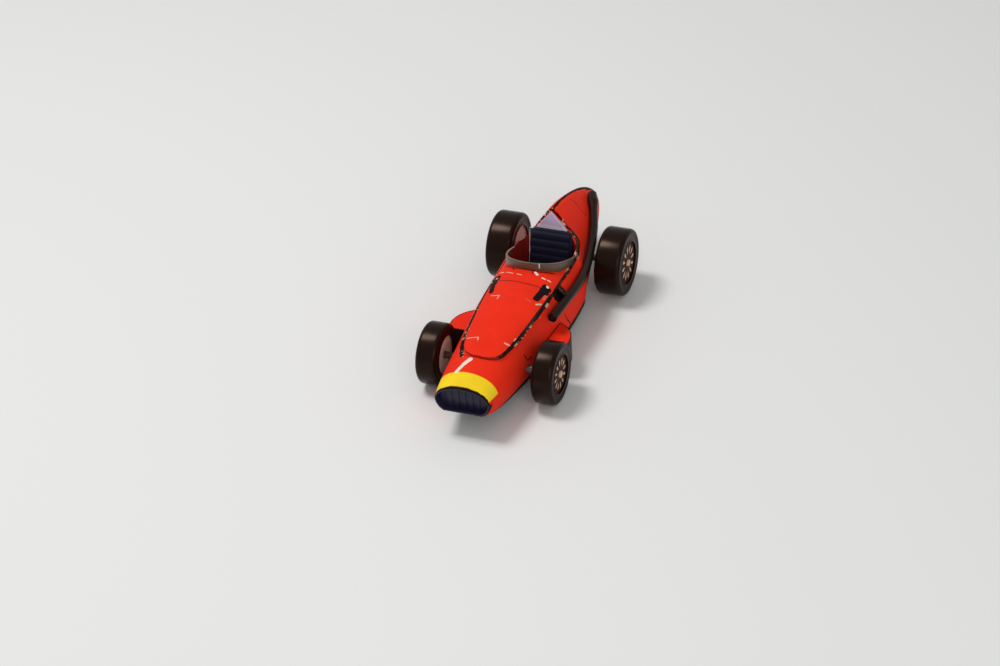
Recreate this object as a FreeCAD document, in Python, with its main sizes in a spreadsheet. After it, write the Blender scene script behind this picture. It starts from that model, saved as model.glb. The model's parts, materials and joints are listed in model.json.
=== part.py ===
"""Open wheel racing car, a small toy of a front-engined single-seater.

Frame: millimetres, +Z up, nose towards -Y, the car's left side at +X.
The origin is on the ground, under the middle of the whole toy.
The toy is one red body with a panel, screen, pipe and fairings set on it,
and four wheels that turn freely on two plain axles.
"""
import FreeCAD
import Part
import PartDesign
import Sketcher
import math
import os
from FreeCAD import Placement, Rotation, Vector

doc = FreeCAD.newDocument("RacingCar")

# ---------------------------------------------------------------- sizes
# alias, millimetres (or a count where the name says so)
SIZES = [
    ("wheelbase", 35.6),
    ("nose_overhang", 14.7),
    ("tail_overhang", 18.4),
    # axles and wheels
    ("front_track", 20.8),
    ("rear_track", 20.5),
    ("front_tyre_diameter", 10.9),
    ("rear_tyre_diameter", 12.2),
    ("front_tyre_width", 3.8),
    ("rear_tyre_width", 4.8),
    ("tyre_shoulder_radius", 0.8),
    ("front_rim_diameter", 6.8),
    ("rear_rim_diameter", 7.8),
    ("rim_recess", 0.3),
    ("spoke_plate_thickness", 0.25),
    ("spoke_count", 12),
    ("spoke_inner_share", 0.36),
    ("spoke_outer_share", 0.87),
    ("spoke_gap_share", 0.19),
    ("hub_radius", 0.62),
    ("hub_height", 0.55),
    ("axle_diameter", 1.2),
    ("axle_running_clearance", 0.05),
    ("axle_end_wall", 1.0),
    ("glue_gap", 0.02),
    # body: how many short straight chords lie along each bowed flank, the crown and the floor
    ("flank_chords", 3),
    ("crown_chords", 8),
    ("ridge_chords", 4),
    ("floor_chords", 4),
    # bonnet panel
    ("bonnet_thickness", 0.4),
    ("bonnet_front_offset", 7.7),
    ("bonnet_front_bow", 1.5),
    ("bonnet_front_half_width", 3.0),
    ("bonnet_shoulder_offset", 5.5),
    ("bonnet_shoulder_half_width", 3.35),
    ("bonnet_middle_half_width", 4.65),
    ("bonnet_rear_half_width", 5.2),
    ("bonnet_rear_bow", 0.6),
    ("bonnet_screen_gap", 4.6),
    ("bonnet_side_shift", 0.55),
    # cockpit
    ("cockpit_half_width", 5.5),
    ("cockpit_front_offset", 17.7),
    ("cockpit_corner_offset", 14.6),
    ("cockpit_corner_half_width", 4.7),
    ("cockpit_side_offset", 9.6),
    ("cockpit_shoulder_offset", 5.8),
    ("cockpit_shoulder_half_width", 4.9),
    ("cockpit_rear_half_width", 2.9),
    ("cockpit_floor_height", 3.9),
    ("screen_height", 1.6),
    ("screen_thickness", 0.35),
    ("screen_lean", 1.0),
    ("screen_skirt", 2.0),
    ("screen_end_offset", 8.3),
    ("screen_end_rise", 0.1),
    ("headrest_height", 17.4),
    ("headrest_base_height", 13.85),
    ("headrest_thickness", 0.5),
    # seat
    ("seat_half_width", 4.0),
    ("seat_length", 7.0),
    ("seat_front_thickness", 2.8),
    ("seat_rear_thickness", 2.2),
    ("seat_back_foot", 2.0),
    ("seat_back_top", 0.8),
    # nose opening and underside
    ("grille_recess", 1.2),
    ("grille_plate_thickness", 0.5),
    ("mouth_wall", 0.2),
    ("underpan_thickness", 0.5),
    ("underpan_inset", 0.5),
    ("underpan_front_offset", 2.0),
    ("underpan_rear_offset", 3.0),
    ("underpan_corner", 3.0),
    # fairings behind the front wheels
    ("flare_reach", 10.8),
    ("flare_front_offset", 6.5),
    ("flare_length", 7.3),
    ("flare_edge_lean", 0.2),
    ("flare_bow_reach", 0.55),
    ("flare_bow_length", 4.4),
    ("flare_sunk", 2.0),
    ("flare_height", 6.5),
    ("flare_bottom_height", 2.0),
    # exhaust
    ("pipe_diameter", 1.6),
    ("pipe_stand_off", 1.05),
    ("pipe_bend_share", 0.45),
    ("pipe_bend_chords", 2),
    ("pipe_swell_diameter", 2.1),
    ("pipe_swell_length", 2.2),
    ("pipe_swell_sunk", 0.0),
    ("stub_diameter", 1.2),
    ("stub_along", 16.7),
    ("stub_height", 9.3),
    ("stub_reach", 1.8),
    ("stub_rise", 2.1),
]

sheet = doc.addObject("Spreadsheet::Sheet", "Sizes")


def write_size(row, alias, value):
    """One row of the sheet: its name in column A, its value, with the alias, in B."""
    sheet.set("A%d" % row, alias)
    sheet.set("B%d" % row, str(value))
    sheet.setAlias("B%d" % row, alias)


def write_table(first_row, table, columns):
    """A table of rows that start with a name, an axle and a place along the car; the next free row."""
    row = first_row
    for name, axle, *numbers in table:
        for column, value in zip(columns, numbers):
            write_size(row, name + "_" + column, value)
            row += 1
    return row


for number, (alias, value) in enumerate(SIZES):
    write_size(number + 1, alias, value)

# The body's sections, nose to tail. Each is placed along the car from an axle, + towards the tail.
# A section has, on each side, a foot, a waist and a crease, and a crown in the middle;
# the flanks between them bow out by the lower and the upper bulge.
STATION_COLUMNS = ("along", "crease_half_width", "crease_height", "crown_height", "waist_half_width",
                   "waist_height", "foot_half_width", "foot_height", "upper_bulge", "lower_bulge")
STATIONS = [
    ("mouth", "front", -14.7, 2.9, 9.16, 9.66, 4.85, 7.2, 3.4, 4.9, 0.35, 0.35),
    ("band", "front", -11, 3.3, 10.21, 11.01, 5.3, 7.7, 4, 3.4, 0.35, 0.35),
    ("cowl", "front", -4.7, 3.75, 10.87, 11.97, 5.9, 7.6, 4.8, 2.3, 0.35, 0.35),
    ("suspension", "front", 1.8, 4.55, 11.35, 12.75, 6.4, 7.6, 5.6, 1.8, 0.3, 0.3),
    ("bonnet", "front", 8.8, 5.2, 11.63, 13.23, 7, 7.6, 6.6, 1.8, 0.2, 0.2),
    ("scuttle", "rear", -17.8, 5.75, 11.22, 13.57, 7.6, 7.4, 7.3, 1.8, 0.2, 0.2),
    ("seat", "rear", -8.8, 6.2, 11.37, 13.92, 7.6, 7.6, 7.1, 1.8, 0.2, 0.2),
    ("bulkhead", "rear", -4.4, 3.1, 13.73, 14.13, 6.2, 8.1, 5.7, 2, 0.25, 0.2),
    ("headrest", "rear", -4.4, 0.8, 17.33, 17.73, 6.2, 8.1, 5.7, 2, 0.35, 0.2),
    ("tail", "rear", 3.2, 0.7, 15.89, 16.24, 5, 8.5, 4.4, 3.1, 0.4, 0.25),
    ("rump", "rear", 11.2, 0.5, 13.05, 13.3, 3.2, 8.5, 2.6, 5.2, 0.3, 0.2),
    ("stern", "rear", 16.3, 0.4, 9.94, 10.14, 1.5, 7.7, 1.2, 6.4, 0.12, 0.1),
    ("tip", "rear", 18.4, 0.25, 8.04, 8.19, 0.5, 7.3, 0.35, 6.8, 0.03, 0.03),
]
# The exhaust pipe's route: from an axle, how far along the car and how high
ROUTE_COLUMNS = ("along", "height")
ROUTE = [
    ("pipe_mouth", "front", 9.8, 9.7),
    ("pipe_side", "rear", -12.5, 9.35),
    ("pipe_hip", "rear", -5.0, 9.2),
    ("pipe_wheel", "rear", 3.0, 10.5),
    ("pipe_end", "rear", 11.0, 12.4),
]
free_row = write_table(len(SIZES) + 2, STATIONS, STATION_COLUMNS)
write_table(free_row + 1, ROUTE, ROUTE_COLUMNS)
doc.recompute()


def size(alias):
    """The value of a named size."""
    return float(getattr(sheet, alias))


overall_length = size("nose_overhang") + size("wheelbase") + size("tail_overhang")
FRONT_AXLE = -overall_length / 2 + size("nose_overhang")
REAR_AXLE = FRONT_AXLE + size("wheelbase")
AXLE_Y = {"front": FRONT_AXLE, "rear": REAR_AXLE}
BEYOND = overall_length / 2  # far enough for a tool to cut right through


def feature(name, shape):
    """A plain feature of the document that holds a finished shape."""
    piece = doc.addObject("Part::Feature", name)
    piece.Label = name
    piece.Shape = shape
    return piece


def largest(shape):
    """The largest solid of a shape."""
    return max(shape.Solids, key=lambda solid: solid.Volume)


def other_side(point):
    """The same point on the other side of the car."""
    return Vector(-point.x, point.y, point.z)


# ---------------------------------------------------------------- body
def bowed(start, end, bulge, chords):
    """Points on an arc from start to end that bows out by bulge, without its last point."""
    run = end - start
    outward = Vector(run.z, 0, -run.x).normalize()
    radius = (run.Length ** 2 / 4 + bulge ** 2) / (2 * bulge)
    centre = (start + end) * 0.5 + outward * (bulge - radius)
    half_turn = math.asin(run.Length / 2 / radius)
    onward = run.normalize()
    turns = [half_turn * (2 * step / chords - 1) for step in range(chords)]
    return [centre + outward * (radius * math.cos(turn)) + onward * (radius * math.sin(turn)) for turn in turns]


def section(station, grow, crown_chords):
    """One closed section of the body, or the same section grown by a little all round."""
    axle = next(row[1] for row in STATIONS if row[0] == station)
    place = AXLE_Y[axle] + size(station + "_along")

    def number(column):
        return size(station + "_" + column)

    foot = Vector(number("foot_half_width") + grow, place, number("foot_height") - grow)
    waist = Vector(number("waist_half_width") + grow, place, number("waist_height"))
    crease = Vector(number("crease_half_width") + grow, place, number("crease_height") + grow)
    crown = number("crown_height") - number("crease_height")
    flank = int(size("flank_chords"))
    points = bowed(foot, waist, number("lower_bulge"), flank)
    points += bowed(waist, crease, number("upper_bulge"), flank)
    points += bowed(crease, other_side(crease), crown, crown_chords)
    points += bowed(other_side(crease), other_side(waist), number("upper_bulge"), flank)
    points += bowed(other_side(waist), other_side(foot), number("lower_bulge"), flank)
    floor_chords = int(size("floor_chords"))
    points += [other_side(foot) + Vector(foot.x * 2 * step / floor_chords, 0, 0) for step in range(floor_chords)]
    return Part.makePolygon(points + points[:1])


def body_form(grow=0.0):
    """The body's outer form: a smooth front, straight sides by the seat, and a smooth tail."""
    names = [row[0] for row in STATIONS]
    seat = names.index("seat")
    broad, narrow = int(size("crown_chords")), int(size("ridge_chords"))
    front = Part.makeLoft([section(name, grow, broad) for name in names[:seat + 1]], True, False)
    sides = Part.makeLoft([section(name, grow, broad) for name in ("seat", "bulkhead")], True, True)
    tail = Part.makeLoft([section(name, grow, narrow) for name in names[seat + 2:]], True, False)
    return front.fuse([sides, tail])


def plan_prism(wire, bottom, top):
    """A prism on a plan outline, from one height to another."""
    face = Part.Face(wire)
    face.translate(Vector(0, 0, bottom - face.BoundBox.ZMin))
    return face.extrude(Vector(0, 0, top - bottom))


def cockpit_plan(offset=0.0):
    """The cockpit opening in plan: arcs round the screen and flanks, straight at the headrest."""
    front = Vector(0, REAR_AXLE - size("cockpit_front_offset"), 0)
    corner = Vector(size("cockpit_corner_half_width"), REAR_AXLE - size("cockpit_corner_offset"), 0)
    side = Vector(size("cockpit_half_width"), REAR_AXLE - size("cockpit_side_offset"), 0)
    shoulder = Vector(size("cockpit_shoulder_half_width"), REAR_AXLE - size("cockpit_shoulder_offset"), 0)
    rear = Vector(size("cockpit_rear_half_width"), headrest_y, 0)
    wire = Part.Wire([
        Part.Arc(other_side(corner), front, corner).toShape(),
        Part.Arc(corner, side, shoulder).toShape(),
        Part.makeLine(shoulder, rear),
        Part.makeLine(rear, other_side(rear)),
        Part.makeLine(other_side(rear), other_side(shoulder)),
        Part.Arc(other_side(shoulder), other_side(side), other_side(corner)).toShape(),
    ])
    if offset:
        wire = wire.makeOffset2D(offset)
    return wire


def axle_bore(axle):
    """The hole that an axle is glued into."""
    radius = size("axle_diameter") / 2 + size("glue_gap")
    start = Vector(-BEYOND, AXLE_Y[axle], size(axle + "_tyre_diameter") / 2)
    return Part.makeCylinder(radius, 2 * BEYOND, start, Vector(1, 0, 0))


headrest_y = REAR_AXLE + size("headrest_along")
outer = body_form()
clear = body_form(size("glue_gap"))  # what is glued on the body stands this clear of it


# ---------------------------------------------------------------- exhaust, on the left flank
def on_flank(name, axle, *_):
    """A point of the pipe's route, at the pipe's stand-off from the body's flank."""
    along = AXLE_Y[axle] + size(name + "_along")
    height = size(name + "_height")
    across = Part.makeLine(Vector(0, along, height), Vector(BEYOND, along, height))
    skin = outer.common(across)
    return Vector(skin.BoundBox.XMax + size("pipe_stand_off"), along, height)


def rounded_path(points, share, chords):
    """Straight runs joined by tangent arcs; each arc is a few short chords."""
    path_points = [points[0]]
    for before, corner, after in zip(points, points[1:], points[2:]):
        inward = (before - corner).normalize()
        onward = (after - corner).normalize()
        half = inward.getAngle(onward) / 2
        reach = share * min((before - corner).Length, (after - corner).Length)
        radius = reach * math.tan(half)
        middle = corner + (inward + onward).normalize() * (radius / math.sin(half) - radius)
        arc = Part.Arc(corner + inward * reach, middle, corner + onward * reach)
        path_points += arc.discretize(chords + 1)
    return Part.makePolygon(path_points + [points[-1]])


route = [on_flank(*row) for row in ROUTE]


def pipe_form(extra=0.0):
    """The pipe: a round bar along its route, with a swelling before its rear end; or its seat, a little larger."""
    forward = (route[0] - route[1]).normalize()
    backward = (route[-1] - route[-2]).normalize()
    ends = [route[0] + forward * extra, *route[1:-1], route[-1] + backward * extra]
    radius = size("pipe_diameter") / 2 + extra
    path = rounded_path(ends, size("pipe_bend_share"), int(size("pipe_bend_chords")))
    ring = Part.Wire(Part.makeCircle(radius, ends[0], forward))
    bar = path.makePipeShell([ring], True, True, 1)
    length = size("pipe_swell_length")
    middle = route[-1] - backward * length
    narrow = radius - size("pipe_swell_sunk")
    broad = size("pipe_swell_diameter") / 2 + extra
    cones = [Part.makeCone(broad, narrow, length, middle, way) for way in (backward, backward * -1)]
    return bar.fuse(cones)


pipe_seat = pipe_form(size("glue_gap"))
feature("exhaust_pipe", largest(pipe_form().removeSplitter()))

# The stub comes down the flank from the bonnet's rear corner and meets the pipe
stub_axis = Vector(size("stub_reach"), 0, -size("stub_rise"))
stub_foot = on_flank("stub", "front")
stub = Part.makeCylinder(size("stub_diameter") / 2, stub_axis.Length, stub_foot - stub_axis, stub_axis)
feature("exhaust_stub", largest(stub.cut([clear, pipe_seat])))

# ---------------------------------------------------------------- body shell, cut from its form
well = plan_prism(cockpit_plan(), size("cockpit_floor_height"), BEYOND)
crown_chords = int(size("crown_chords"))
mouth = Part.Face(section("mouth", -size("mouth_wall"), crown_chords))
mouth = mouth.extrude(Vector(0, size("grille_recess") + size("grille_plate_thickness"), 0))
body_shape = outer.cut([well, mouth, axle_bore("front"), axle_bore("rear"), pipe_seat])
feature("body_shell", largest(body_shape))

# Radiator grille: a dark plate deep in the mouth
plate = Part.Face(section("mouth", -size("mouth_wall") - size("glue_gap"), crown_chords))
plate = plate.extrude(Vector(0, size("grille_plate_thickness") - size("glue_gap"), 0))
plate.translate(Vector(0, size("grille_recess"), 0))
feature("nose_grille", plate)


# ---------------------------------------------------------------- bonnet panel
def bonnet_plan():
    """The bonnet in plan: bowed across its front and its rear, and along its flanks."""
    front = FRONT_AXLE - size("bonnet_front_offset")
    rear = REAR_AXLE - size("cockpit_front_offset") - size("bonnet_screen_gap")
    shoulder_y = FRONT_AXLE - size("bonnet_shoulder_offset")
    nose = Vector(size("bonnet_front_half_width"), front + size("bonnet_front_bow"), 0)
    shoulder = Vector(size("bonnet_shoulder_half_width"), shoulder_y, 0)
    side = Vector(size("bonnet_middle_half_width"), (shoulder_y + rear) / 2, 0)
    end = Vector(size("bonnet_rear_half_width"), rear + size("bonnet_rear_bow"), 0)
    return Part.Wire([
        Part.Arc(other_side(nose), Vector(0, front, 0), nose).toShape(),
        Part.makeLine(nose, shoulder),
        Part.Arc(shoulder, side, end).toShape(),
        Part.Arc(end, Vector(0, rear, 0), other_side(end)).toShape(),
        Part.Arc(other_side(end), other_side(side), other_side(shoulder)).toShape(),
        Part.makeLine(other_side(shoulder), other_side(nose)),
    ])


bonnet_prism = plan_prism(bonnet_plan(), size("bonnet_waist_height"), BEYOND)
bonnet_prism.translate(Vector(size("bonnet_side_shift"), 0, 0))
bonnet = body_form(size("bonnet_thickness")).common(bonnet_prism).cut(clear)
feature("bonnet_panel", largest(bonnet))

# ---------------------------------------------------------------- cockpit
# Windscreen: a low band round the front and flanks of the opening
ring = plan_prism(cockpit_plan(size("screen_thickness")), 0, BEYOND).cut(plan_prism(cockpit_plan(), 0, BEYOND))
screen_front = REAR_AXLE - size("cockpit_front_offset") - size("screen_lean")
screen_end = REAR_AXLE - size("screen_end_offset")
screen_top = size("scuttle_crown_height") + size("screen_height")
sill = size("seat_crease_height")
screen_profile = Part.makePolygon([
    Vector(-BEYOND, screen_front, sill - size("screen_skirt")),
    Vector(-BEYOND, screen_front, screen_top),
    Vector(-BEYOND, screen_end, sill + size("screen_end_rise")),
    Vector(-BEYOND, screen_end, sill - size("screen_skirt")),
    Vector(-BEYOND, screen_front, sill - size("screen_skirt")),
])
screen_band = Part.Face(screen_profile).extrude(Vector(2 * BEYOND, 0, 0))
feature("windscreen", largest(ring.common(screen_band).cut([clear, pipe_seat])))

# Headrest pad: the flat face at the front of the fairing
half = size("cockpit_rear_half_width")
pad_face = Part.makePolygon([
    Vector(-half, 0, size("headrest_base_height")),
    Vector(half, 0, size("headrest_base_height")),
    Vector(0, 0, size("headrest_height")),
    Vector(-half, 0, size("headrest_base_height")),
])
pad = Part.Face(pad_face).extrude(Vector(0, size("headrest_thickness"), 0))
pad_front = headrest_y - size("headrest_thickness") - size("glue_gap")
pad.translate(Vector(0, pad_front, 0))
feature("headrest_pad", pad)

# Seat: a cushion and a back in one, on the floor of the well and under the headrest pad
floor = size("cockpit_floor_height") + size("glue_gap")
seat_top = size("headrest_base_height") - size("glue_gap")
seat_rear = headrest_y - size("glue_gap")
seat_front = seat_rear - size("seat_length")
seat_profile = Part.makePolygon([
    Vector(0, seat_front, floor),
    Vector(0, seat_rear, floor),
    Vector(0, seat_rear, seat_top),
    Vector(0, seat_rear - size("seat_back_top"), seat_top),
    Vector(0, seat_rear - size("seat_back_foot"), floor + size("seat_rear_thickness")),
    Vector(0, seat_front, floor + size("seat_front_thickness")),
    Vector(0, seat_front, floor),
])
seat = Part.Face(seat_profile).extrude(Vector(2 * size("seat_half_width"), 0, 0))
seat.translate(Vector(-size("seat_half_width"), 0, 0))
seat = seat.common(plan_prism(cockpit_plan(-size("glue_gap")), 0, BEYOND))
feature("seat", largest(seat))

# ---------------------------------------------------------------- underside and fairings
# Underpan: a flat plate under the middle of the body
pan_front = FRONT_AXLE + size("underpan_front_offset")
pan_rear = REAR_AXLE - size("underpan_rear_offset")
wide = size("scuttle_foot_half_width") - size("underpan_inset")
slim_front = size("suspension_foot_half_width") - size("underpan_inset")
slim_rear = size("bulkhead_foot_half_width") - size("underpan_inset")
pan_side = [
    Vector(slim_front, pan_front, 0),
    Vector(wide, REAR_AXLE + size("scuttle_along"), 0),
    Vector(wide, REAR_AXLE + size("seat_along"), 0),
    Vector(slim_rear, pan_rear, 0),
]
pan_plan = pan_side + [other_side(point) for point in reversed(pan_side)]
pan_bottom = size("scuttle_foot_height") - size("underpan_thickness")
pan = plan_prism(Part.makePolygon(pan_plan + pan_plan[:1]), pan_bottom, size("seat_waist_height")).cut(clear)
feature("underpan", min(pan.Solids, key=lambda solid: solid.BoundBox.ZMin))

# Fairings behind the front wheels, sunk towards the body and cut to its flank
for side, name in ((1, "flare_left"), (-1, "flare_right")):
    front = FRONT_AXLE + size("flare_front_offset")
    rear = front + size("flare_length")
    reach = size("flare_reach")
    inner = size("bonnet_waist_half_width") - size("flare_sunk")
    tip = Vector(side * (reach - size("flare_edge_lean")), front, 0)
    bow = Vector(side * (reach - size("flare_bow_reach")), front + size("flare_bow_length"), 0)
    flare_plan = Part.Wire([
        Part.makeLine(Vector(side * inner, rear, 0), Vector(side * inner, front, 0)),
        Part.makeLine(Vector(side * inner, front, 0), tip),
        Part.Arc(tip, bow, Vector(side * inner, rear, 0)).toShape(),
    ])
    flare = plan_prism(flare_plan, size("flare_bottom_height"), size("flare_height"))
    feature(name, largest(flare.cut(clear)))


# ---------------------------------------------------------------- axles and wheels
def plane_of(body, role):
    """The origin plane of a body with the given role."""
    for item in body.Origin.OriginFeatures:
        if item.Role == role:
            return item


def sketch_polygon(body, name, role, corners):
    """A closed outline on an origin plane, each corner bound to two expressions."""
    sketch = body.newObject("Sketcher::SketchObject", name)
    sketch.AttachmentSupport = [(plane_of(body, role), "")]
    sketch.MapMode = "FlatFace"
    count = len(corners)
    turn = [Vector(math.cos(2 * math.pi * i / count), 2 + math.sin(2 * math.pi * i / count), 0)
            for i in range(count)]
    for i in range(count):
        sketch.addGeometry(Part.LineSegment(turn[i], turn[(i + 1) % count]), False)
    for i in range(count):
        sketch.addConstraint(Sketcher.Constraint("Coincident", i, 2, (i + 1) % count, 1))
    for i, (across, up) in enumerate(corners):
        for kind, axis, text in (("DistanceX", -2, across), ("DistanceY", -1, up)):
            if text == "0":
                sketch.addConstraint(Sketcher.Constraint("PointOnObject", i, 1, axis))
                continue
            index = sketch.addConstraint(Sketcher.Constraint(kind, -1, 1, i, 1, 1.0))
            sketch.setExpression("Constraints[%d]" % index, text)
    return sketch


def turned(body, name, corners):
    """A profile turned once round the axle line (the sketch's horizontal axis)."""
    sketch = sketch_polygon(body, name + "_profile", "XZ_Plane", corners)
    solid = body.newObject("PartDesign::Revolution", name + "_turned")
    solid.Profile = sketch
    solid.ReferenceAxis = (sketch, ["H_Axis"])
    solid.Angle = 360.0
    doc.recompute()
    return solid


AXLE_PLACE = {
    "front": "(Sizes.nose_overhang - Sizes.wheelbase - Sizes.tail_overhang) / 2",
    "rear": "(Sizes.nose_overhang + Sizes.wheelbase - Sizes.tail_overhang) / 2",
}


def seat_on_axle(body, axle, side):
    """Put a wheel piece on its axle; the right-hand ones are turned to face outwards."""
    turn = Rotation(Vector(0, 0, 1), 0 if side > 0 else 180)
    body.Placement = Placement(Vector(0, 0, 0), turn)
    body.setExpression("Placement.Base.x", "%d * Sizes.%s_track / 2" % (side, axle))
    body.setExpression("Placement.Base.y", AXLE_PLACE[axle])
    body.setExpression("Placement.Base.z", "Sizes.%s_tyre_diameter / 2" % axle)


for axle in ("front", "rear"):
    half = "Sizes.%s_tyre_width / 2" % axle
    tread = "Sizes.%s_tyre_diameter / 2" % axle
    shoulder = "Sizes.tyre_shoulder_radius"
    bevel = "Sizes.tyre_shoulder_radius * (1 - sqrt(0.5))"
    rim = "Sizes.%s_rim_diameter / 2" % axle
    rim_fit = rim + " - Sizes.glue_gap"
    face = "%s - Sizes.rim_recess - Sizes.spoke_plate_thickness" % half
    bore = "Sizes.axle_diameter / 2 + Sizes.axle_running_clearance"
    for side, word in ((1, "left"), (-1, "right")):
        place = "%s_%s" % (axle, word)
        # The tyre's outer shoulder is rounded in two bevels, its inner one in one
        tyre = doc.addObject("PartDesign::Body", "tyre_" + place)
        turned(tyre, "tyre_" + place, [
            ("-%s" % half, rim),
            ("-%s" % half, "%s - %s" % (tread, shoulder)),
            ("-%s + %s" % (half, shoulder), tread),
            ("%s - %s" % (half, shoulder), tread),
            ("%s - %s" % (half, bevel), "%s - %s" % (tread, bevel)),
            (half, "%s - %s" % (tread, shoulder)),
            (half, rim),
        ])
        seat_on_axle(tyre, axle, side)

        # The wheel's core: a blind bore for the axle, and a hub in front
        core = doc.addObject("PartDesign::Body", "wheel_" + place)
        turned(core, "wheel_" + place, [
            ("-%s + Sizes.rim_recess" % half, bore),
            ("-%s + Sizes.rim_recess" % half, rim_fit),
            (face, rim_fit),
            (face, "Sizes.hub_radius"),
            (face + " + Sizes.hub_height", "Sizes.hub_radius"),
            (face + " + Sizes.hub_height", "0"),
            (half + " - Sizes.axle_end_wall", "0"),
            (half + " - Sizes.axle_end_wall", bore),
        ])
        seat_on_axle(core, axle, side)

        # The dark face plate, with a ring of petal-shaped gaps round the hub
        spokes = doc.addObject("PartDesign::Body", "spokes_" + place)
        disc = turned(spokes, "spokes_" + place, [
            (face + " + Sizes.glue_gap", "Sizes.hub_radius + Sizes.glue_gap"),
            (face + " + Sizes.glue_gap", rim_fit),
            (half + " - Sizes.rim_recess", rim_fit),
            (half + " - Sizes.rim_recess", "Sizes.hub_radius + Sizes.glue_gap"),
        ])
        inner = rim + " * Sizes.spoke_inner_share"
        outer_end = rim + " * Sizes.spoke_outer_share"
        widest = "%s * 0.35 + %s * 0.65" % (inner, outer_end)
        half_gap = rim + " * Sizes.spoke_gap_share / 2"
        gap = sketch_polygon(spokes, "spoke_gap_" + place, "YZ_Plane", [
            ("0", inner),
            (half_gap, widest),
            ("0", outer_end),
            ("0 - " + half_gap, widest),
        ])
        pocket = spokes.newObject("PartDesign::Pocket", "spoke_cut_" + place)
        pocket.Profile = gap
        pocket.Type = 1
        pocket.Midplane = True
        doc.recompute()
        pattern = spokes.newObject("PartDesign::PolarPattern", "spoke_ring_" + place)
        pattern.Originals = [pocket]
        pattern.Axis = (disc.Profile[0], ["H_Axis"])
        pattern.Angle = 360
        pattern.setExpression("Occurrences", "Sizes.spoke_count")
        spokes.Tip = pattern
        seat_on_axle(spokes, axle, side)

    rod = doc.addObject("Part::Cylinder", axle + "_axle")
    rod.Label = axle + "_axle"
    rod.setExpression("Radius", "Sizes.axle_diameter / 2")
    rod.setExpression("Height", "Sizes.%s_track + Sizes.%s_tyre_width - 2 * Sizes.axle_end_wall"
                      " - 2 * Sizes.axle_running_clearance" % (axle, axle))
    rod.Placement = Placement(Vector(0, 0, 0), Rotation(Vector(0, 1, 0), 90))
    rod.setExpression("Placement.Base.x", "-Height / 2")
    rod.setExpression("Placement.Base.y", AXLE_PLACE[axle])
    rod.setExpression("Placement.Base.z", "Sizes.%s_tyre_diameter / 2" % axle)

# ---------------------------------------------------------------- check and export
doc.recompute()
for item in doc.Objects:
    if {"Invalid", "Error"} & set(item.State):
        raise RuntimeError("%s failed: %s" % (item.Name, item.State))
os.makedirs("parts", exist_ok=True)
for item in doc.Objects:
    inside = item.getParentGeoFeatureGroup() is not None
    if inside or not item.isDerivedFrom("Part::Feature"):
        continue
    shape = item.Shape
    if shape.isNull() or not shape.isValid():
        raise RuntimeError(item.Name + " has no valid shape")
    shape.exportStep("parts/%s.step" % item.Label)
    box = shape.BoundBox
    print("%-22s solids %d  volume %8.2f  x %6.2f..%6.2f  y %6.2f..%6.2f  z %5.2f..%5.2f" % (
        item.Label, len(shape.Solids), shape.Volume,
        box.XMin, box.XMax, box.YMin, box.YMax, box.ZMin, box.ZMax))
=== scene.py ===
# %% [markdown]
# # A toy racing car, dressed for its picture
# The car is a small toy single-seater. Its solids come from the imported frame: body, bonnet panel,
# screen, pipe and wheels, each in its own place. Blender adds what a solid model leaves plain:
# soft edges, inked marks, glossy tyres, rolls of padding and the edges of worn card.
# %% A toy racing car, dressed for its picture
import json
import math
import bmesh
import bpy
from mathutils import Matrix, Vector

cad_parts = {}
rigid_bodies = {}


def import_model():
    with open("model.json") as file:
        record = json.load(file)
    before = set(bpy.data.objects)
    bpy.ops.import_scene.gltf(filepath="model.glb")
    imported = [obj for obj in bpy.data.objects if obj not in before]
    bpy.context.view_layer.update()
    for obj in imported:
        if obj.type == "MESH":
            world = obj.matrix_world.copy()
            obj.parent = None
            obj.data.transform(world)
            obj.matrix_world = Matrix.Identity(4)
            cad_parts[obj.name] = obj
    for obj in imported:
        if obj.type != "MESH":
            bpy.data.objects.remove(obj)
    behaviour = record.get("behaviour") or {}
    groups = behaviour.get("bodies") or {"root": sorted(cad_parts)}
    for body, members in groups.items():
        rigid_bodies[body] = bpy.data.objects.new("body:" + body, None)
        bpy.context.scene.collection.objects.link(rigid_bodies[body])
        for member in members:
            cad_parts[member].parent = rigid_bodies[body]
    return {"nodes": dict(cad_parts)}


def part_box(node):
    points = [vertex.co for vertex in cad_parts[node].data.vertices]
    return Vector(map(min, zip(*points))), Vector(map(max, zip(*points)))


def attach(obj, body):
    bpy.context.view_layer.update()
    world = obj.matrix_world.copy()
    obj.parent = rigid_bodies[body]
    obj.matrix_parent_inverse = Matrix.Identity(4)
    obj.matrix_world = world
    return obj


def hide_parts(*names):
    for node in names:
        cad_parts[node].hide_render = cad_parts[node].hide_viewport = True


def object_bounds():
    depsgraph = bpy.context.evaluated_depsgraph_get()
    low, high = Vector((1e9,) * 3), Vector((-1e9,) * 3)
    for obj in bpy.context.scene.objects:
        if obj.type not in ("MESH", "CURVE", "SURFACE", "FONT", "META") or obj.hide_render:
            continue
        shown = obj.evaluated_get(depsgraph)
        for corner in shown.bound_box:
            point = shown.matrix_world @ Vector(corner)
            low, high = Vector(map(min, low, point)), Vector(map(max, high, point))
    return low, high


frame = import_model()
CAD_LOW, CAD_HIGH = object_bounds()
NODES = frame["nodes"]
MM = 0.001
print("length of the car, mm:", round((CAD_HIGH.y - CAD_LOW.y) / MM, 1))

# %% [markdown]
# ## Where things are
# Here the places of the hubs, the screen, the pad, the grille and the seat are worked out from the
# frame, so the looks follow the solids.
# A node's box gives its lowest and highest corner; the middle of a tyre is the middle of its box.
# %% Where things are
def middle(node):
    low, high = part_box(node)
    return (low + high) / 2


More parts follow.
